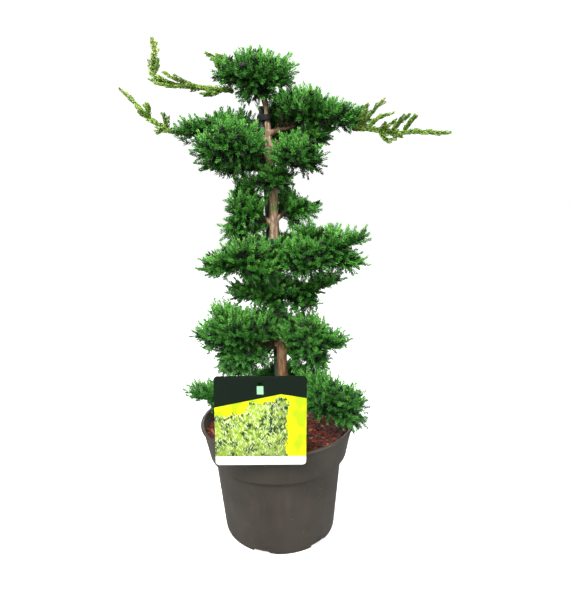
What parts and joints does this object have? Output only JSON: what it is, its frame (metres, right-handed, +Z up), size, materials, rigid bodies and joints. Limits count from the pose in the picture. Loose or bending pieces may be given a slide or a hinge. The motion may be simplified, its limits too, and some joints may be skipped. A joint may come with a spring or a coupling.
{
  "type": "bonsai tree in a pot",
  "caption": "Young juniper trained as a tiered bonsai, staked with a cane, in a round nursery pot with bark mulch and a blank plant label.",
  "frame": {"origin": "on the ground under the middle of the pot", "axes": "+Z up along the stem, -Y towards the plant label, +X to the right of a viewer who faces the label"},
  "size_m": [0.3526, 0.1932, 0.5841],
  "materials": {
    "pot": "satin",
    "compost": "matte",
    "bark_mulch": "matte",
    "juniper_bark": "matte",
    "green_cane": "satin",
    "black_rubber": "matte",
    "green_tie": "matte",
    "label": "gloss",
    "label_clip": "satin",
    "foliage": "satin",
    "new_growth": "satin"
  },
  "bodies": {
    "root": {"nursery_pot": "pot", "root_ball": "compost", "bark_mulch": "bark_mulch", "stem_and_limbs": "juniper_bark", "bamboo_cane": "green_cane", "tie_upper": "black_rubber", "tie_lower": "green_tie", "plant_label": "label", "label_clip": "label_clip", "foliage_crown": "foliage", "foliage_upper_right": "foliage", "foliage_upper_right_inner": "foliage", "foliage_upper_left_back": "foliage", "foliage_upper_left_front": "foliage", "foliage_left_skirt": "foliage", "foliage_right_shelf": "foliage", "foliage_neck": "foliage", "foliage_shoulder_left": "foliage", "foliage_shoulder_right": "foliage", "foliage_middle_left": "foliage", "foliage_middle_right": "foliage", "foliage_waist_left": "foliage", "foliage_waist_right": "foliage", "foliage_lower_left": "foliage", "foliage_lower_right": "foliage", "foliage_base_left": "foliage", "foliage_base_right": "foliage", "foliage_back_upper": "foliage", "foliage_back_middle": "foliage", "foliage_back_lower": "foliage", "foliage_base_back": "foliage", "long_shoot_upper_left": "new_growth", "long_shoot_left": "new_growth", "long_shoot_right": "new_growth", "long_shoot_crown": "new_growth"}
  },
  "joints": []
}
